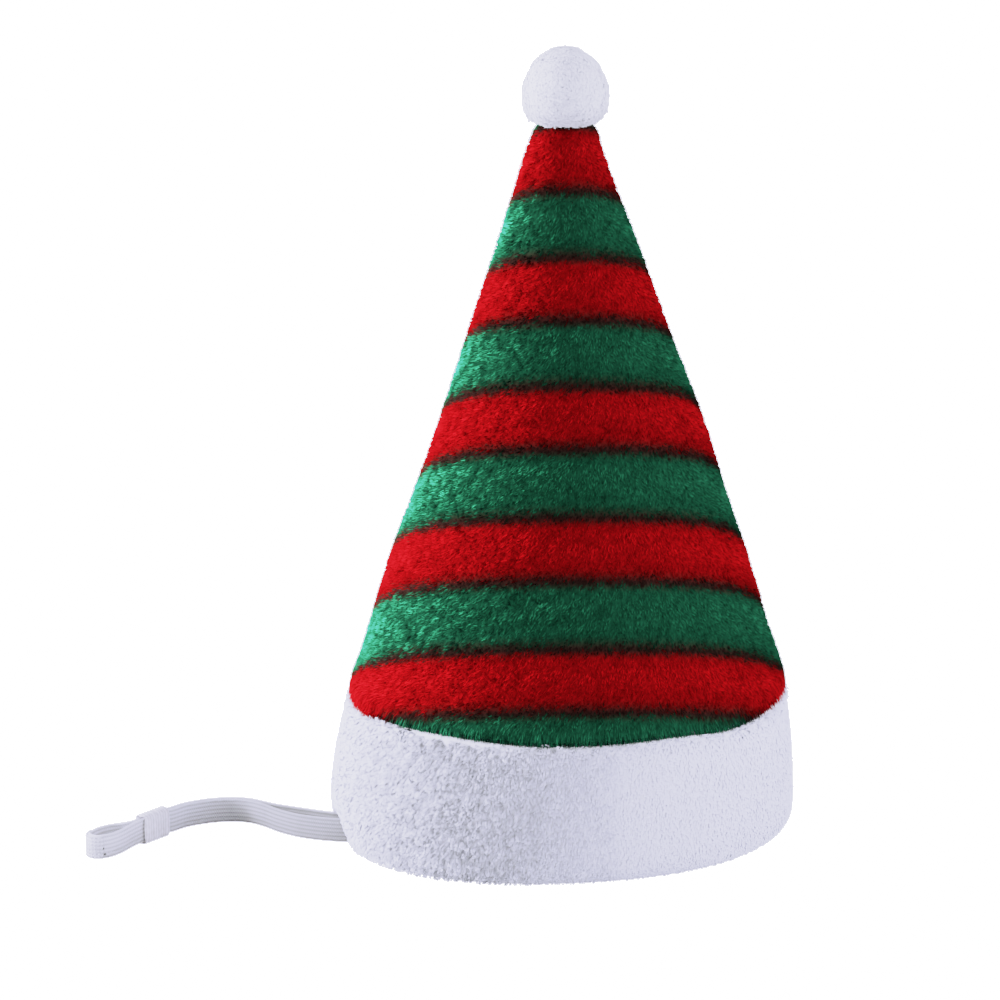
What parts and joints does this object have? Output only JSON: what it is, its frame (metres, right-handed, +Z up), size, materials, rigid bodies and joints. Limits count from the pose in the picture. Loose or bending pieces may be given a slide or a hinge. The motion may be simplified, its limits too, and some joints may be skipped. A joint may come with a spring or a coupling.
{
  "type": "pet santa hat",
  "caption": "Tall striped plush cone with a white pompom on its tip, a padded white plush band round the rim and a flat elastic chin strap with a slider.",
  "frame": {"origin": "on the surface that the hat stands on, under the middle of the band", "axes": "+Z up along the cone, -Y the front as pictured, +X to the right seen from the front; the strap lies towards -X"},
  "size_m": [0.1618, 0.1002, 0.1824],
  "materials": {
    "striped_plush": "short-pile plush, striped red and green",
    "white_plush": "soft crumbly white plush",
    "pompom_fibre": "soft cut white fibres",
    "elastic": "woven flat elastic with lengthwise ribs",
    "slider_plastic": "soft matte white plastic, ribbed"
  },
  "bodies": {
    "root": {"crown": "striped_plush", "brim_band": "white_plush", "pompom": "pompom_fibre", "elastic_strap": "elastic", "strap_slider": "slider_plastic"}
  },
  "joints": []
}
